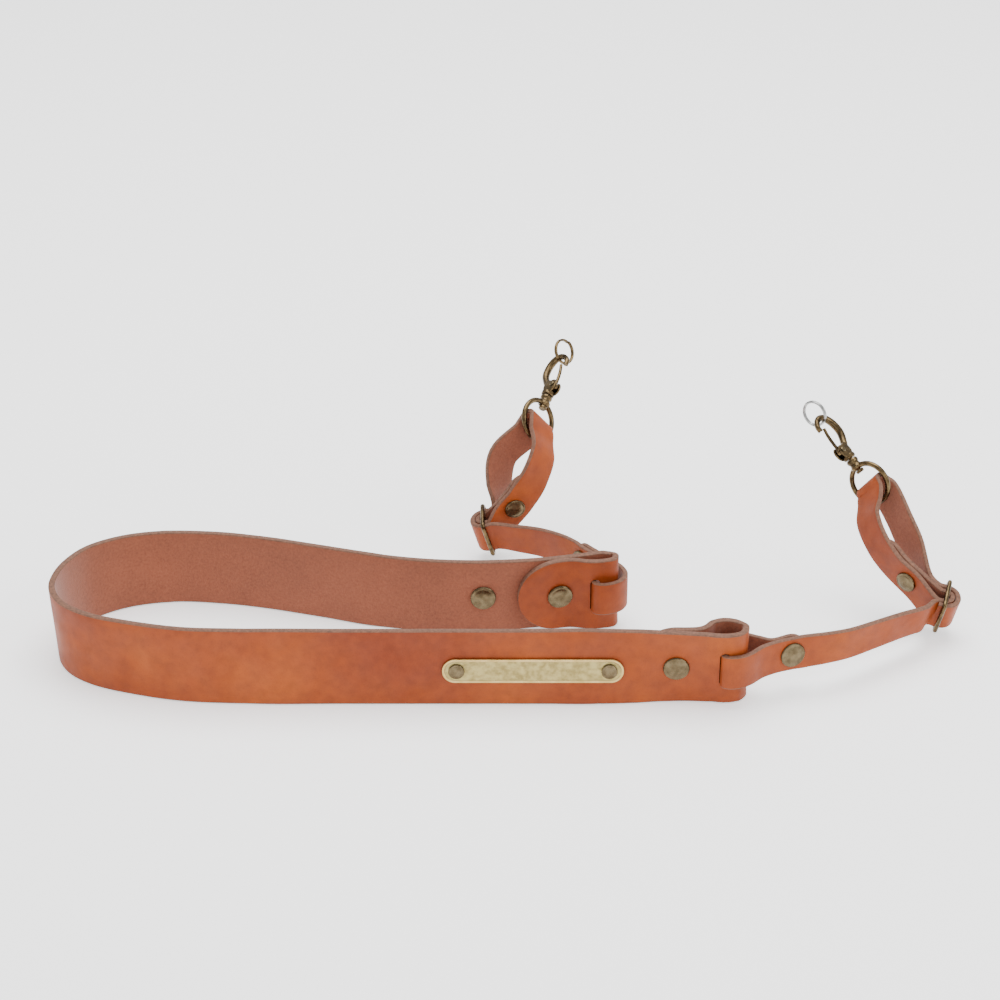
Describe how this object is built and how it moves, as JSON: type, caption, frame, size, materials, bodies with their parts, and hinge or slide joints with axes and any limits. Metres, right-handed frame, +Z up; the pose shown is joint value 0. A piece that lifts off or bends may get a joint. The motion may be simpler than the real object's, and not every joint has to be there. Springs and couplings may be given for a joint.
{
  "type": "camera neck strap",
  "caption": "Leather camera neck strap: a broad folded strap with a name plate, narrow riveted connectors through three-bar sliders, eye rings, swivel trigger hooks and split rings",
  "frame": {"origin": "centre of the right-hand split ring, where the camera's lug carries the strap", "axes": "+Z up from the table, +X to the right of the front arm, +Y from the front arm towards the back arm"},
  "size_m": [0.4264, 0.2119, 0.0944],
  "materials": {
    "leather": "waxed grain outside, suede inside, raw cut edges",
    "rivet": "aged, dull",
    "plate": "pale brass, mottled recessed field",
    "hardware": "antique, dark in the hollows",
    "ring": "polished steel"
  },
  "bodies": {
    "strap": {"neck_strap": "leather", "name_plate": "plate", "rivet_front_end": "rivet", "rivet_back_end": "rivet", "rivet_spare": "rivet", "rivet_plate_1": "rivet", "rivet_plate_2": "rivet", "connector_right": "leather", "rivet_fold_right": "rivet", "rivet_loop_right": "rivet", "slider_right": "hardware", "eye_ring_right": "hardware", "connector_left": "leather", "rivet_fold_left": "rivet", "rivet_loop_left": "rivet", "slider_left": "hardware", "eye_ring_left": "hardware"},
    "hook_right_body": {"hook_right": "hardware", "gate_pin_right": "hardware", "split_ring_right": "ring"},
    "hook_left_body": {"hook_left": "hardware", "gate_pin_left": "hardware", "split_ring_left": "ring"},
    "gate_right_body": {"gate_right": "hardware"},
    "gate_left_body": {"gate_left": "hardware"}
  },
  "joints": [
    {"name": "swivel_right", "type": "hinge", "parent": "strap", "child": "hook_right_body", "pos_m": [0, 0, 0], "axis": [-0.6051, 0.4841, 0.632], "continuous": true},
    {"name": "gate_right_hinge", "type": "hinge", "parent": "hook_right_body", "child": "gate_right_body", "pos_m": [0.01165, -0.01316, -0.01405], "axis": [-0.5044, 0.3811, -0.7748], "range_deg": [0, 20], "stiffness_Nm_per_rad": 0.01},
    {"name": "swivel_left", "type": "hinge", "parent": "strap", "child": "hook_left_body", "pos_m": [-0.11856, 0.07619, -0.00169], "axis": [0.3137, 0.8009, 0.5101], "continuous": true},
    {"name": "gate_left_hinge", "type": "hinge", "parent": "hook_left_body", "child": "gate_left_body", "pos_m": [-0.12338, 0.05669, -0.01182], "axis": [-0.6133, -0.2392, 0.7527], "range_deg": [0, 20], "stiffness_Nm_per_rad": 0.01}
  ]
}
